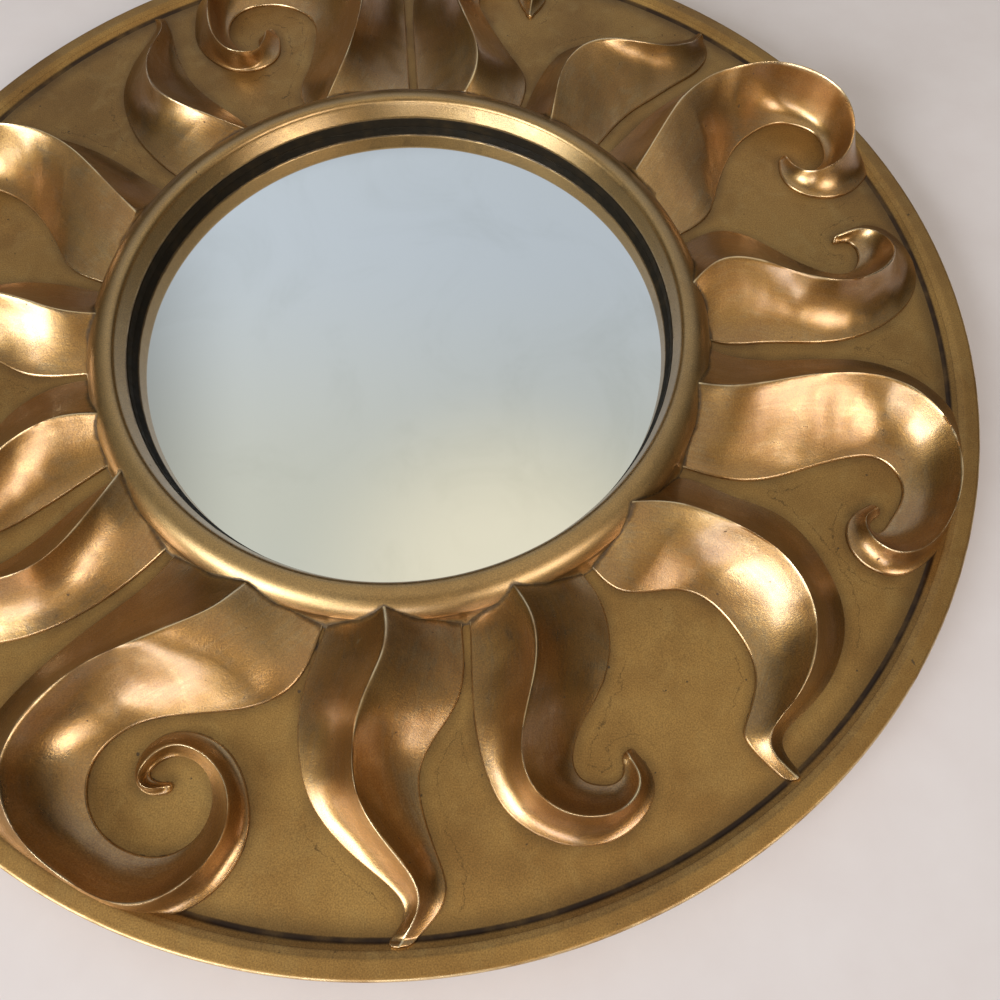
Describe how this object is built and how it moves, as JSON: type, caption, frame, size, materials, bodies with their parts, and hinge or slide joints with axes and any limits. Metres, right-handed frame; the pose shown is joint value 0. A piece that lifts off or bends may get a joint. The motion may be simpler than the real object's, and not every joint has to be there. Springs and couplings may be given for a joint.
{
  "type": "convex butlers mirror",
  "caption": "Round convex mirror in a gilded sunburst frame with carved flame and volute rays, a rounded bezel, a raised rim and hanging rings on the back.",
  "frame": {"origin": "middle of the back, on the plane that the four bumpers rest on", "axes": "+Z out of the mirror's face, +Y towards the top of the mirror as it hangs, +X to the viewer's right"},
  "size_m": [0.6096, 0.6096, 0.0501],
  "materials": {
    "field_gold": "aged antique gold paint over gesso, with dark wax in the creases and fine brown specks",
    "bezel_gold": "burnished antique gold, satin",
    "flame_gold": "antique gold leaf with copper and silver highlights, burnished on the crests",
    "volute_gold": "antique gold leaf with copper and silver highlights, burnished on the crests",
    "slip_black": "satin near black paint",
    "mirror_silver": "silvered convex glass",
    "felt": "grey felt",
    "hardboard": "bare brown hardboard",
    "brass": "plain brass",
    "zinc": "zinc plated steel",
    "rubber": "black rubber"
  },
  "bodies": {
    "frame_body": {"frame_plate": "field_gold", "bezel_ring": "bezel_gold", "dark_slip": "slip_black", "mirror_glass": "mirror_silver", "cushion_ring": "felt", "backing_board": "hardboard", "ray_01_flame": "flame_gold", "ray_02_volute": "volute_gold", "ray_03_flame": "flame_gold", "ray_04_volute": "volute_gold", "ray_05_volute": "volute_gold", "ray_06_volute": "volute_gold", "ray_07_flame": "flame_gold", "ray_08_volute": "volute_gold", "ray_09_volute": "volute_gold", "ray_10_flame": "flame_gold", "ray_11_volute": "volute_gold", "ray_12_flame": "flame_gold", "ray_13_volute": "volute_gold", "ray_14_flame": "flame_gold", "ray_15_volute": "volute_gold", "turn_button_screw_01": "brass", "bumper_01": "rubber", "bumper_screw_01": "zinc", "turn_button_screw_02": "brass", "bumper_02": "rubber", "bumper_screw_02": "zinc", "turn_button_screw_03": "brass", "bumper_03": "rubber", "bumper_screw_03": "zinc", "turn_button_screw_04": "brass", "bumper_04": "rubber", "bumper_screw_04": "zinc", "strap_left": "zinc", "strap_screw_left_1": "zinc", "strap_screw_left_2": "zinc", "strap_right": "zinc", "strap_screw_right_1": "zinc", "strap_screw_right_2": "zinc"},
    "button_01": {"turn_button_01": "brass"},
    "button_02": {"turn_button_02": "brass"},
    "button_03": {"turn_button_03": "brass"},
    "button_04": {"turn_button_04": "brass"},
    "ring_left": {"d_ring_left": "zinc"},
    "ring_right": {"d_ring_right": "zinc"}
  },
  "joints": [
    {"name": "turn_button_01_pivot", "type": "hinge", "parent": "frame_body", "child": "button_01", "pos_m": [0.12855, 0.12855, 0.00515], "axis": [0, 0, 1], "range_deg": [-90, 90]},
    {"name": "turn_button_02_pivot", "type": "hinge", "parent": "frame_body", "child": "button_02", "pos_m": [-0.12855, 0.12855, 0.00515], "axis": [0, 0, 1], "range_deg": [-90, 90]},
    {"name": "turn_button_03_pivot", "type": "hinge", "parent": "frame_body", "child": "button_03", "pos_m": [-0.12855, -0.12855, 0.00515], "axis": [0, 0, 1], "range_deg": [-90, 90]},
    {"name": "turn_button_04_pivot", "type": "hinge", "parent": "frame_body", "child": "button_04", "pos_m": [0.12855, -0.12855, 0.00515], "axis": [0, 0, 1], "range_deg": [-90, 90]},
    {"name": "d_ring_left_swing", "type": "hinge", "parent": "frame_body", "child": "ring_left", "pos_m": [-0.118, 0.196, 0.0034], "axis": [-1, 0, 0], "range_deg": [0, 165]},
    {"name": "d_ring_right_swing", "type": "hinge", "parent": "frame_body", "child": "ring_right", "pos_m": [0.118, 0.196, 0.0034], "axis": [-1, 0, 0], "range_deg": [0, 165]}
  ]
}
